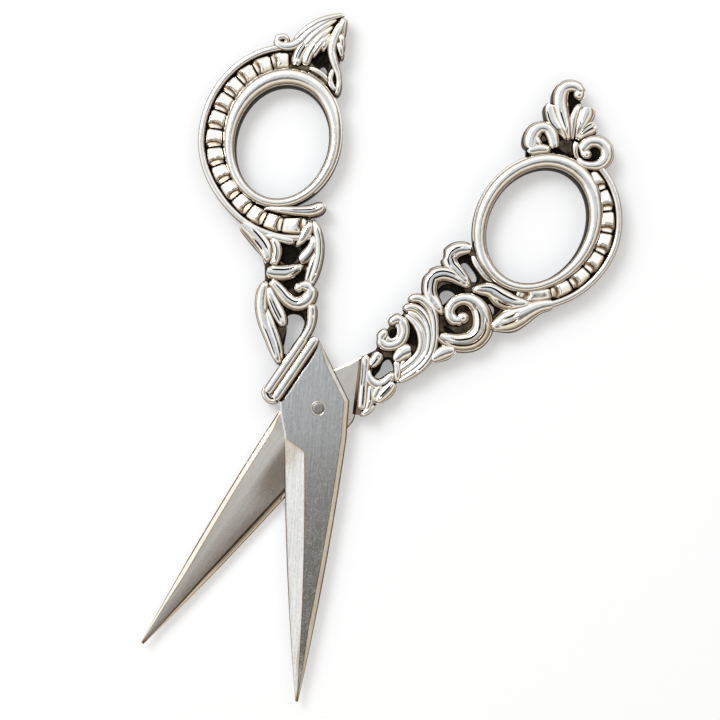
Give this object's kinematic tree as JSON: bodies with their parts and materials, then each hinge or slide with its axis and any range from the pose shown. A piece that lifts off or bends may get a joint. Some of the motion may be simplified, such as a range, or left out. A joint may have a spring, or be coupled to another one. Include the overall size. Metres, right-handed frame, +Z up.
{
  "type": "embroidery scissors",
  "caption": "Small embroidery scissors: tapering ground steel blades riveted to cast openwork silver scroll handles with beaded oval finger bows and leaf crests, lying open",
  "frame": {"origin": "centre of the flat tail of the pivot rivet, on the plane the scissors lie on", "axes": "+Z up along the rivet's axis, -Y along the front blade to its point, +X towards the rear handle"},
  "size_m": [0.0805, 0.1239, 0.0048],
  "materials": {
    "blade_steel": "satin ground steel",
    "cast_silver": "polished cast alloy, silver plated, dark oxide left in the recesses",
    "rivet_steel": "ground flush"
  },
  "bodies": {
    "front_half": {"front_blade": "blade_steel", "front_handle": "cast_silver", "pivot_rivet": "rivet_steel"},
    "rear_half": {"rear_blade": "blade_steel", "rear_handle": "cast_silver"}
  },
  "joints": [
    {"name": "pivot", "type": "hinge", "parent": "front_half", "child": "rear_half", "pos_m": [0, 0, 0.0024], "axis": [0, 0, -1], "range_deg": [-32.3, 11]}
  ]
}
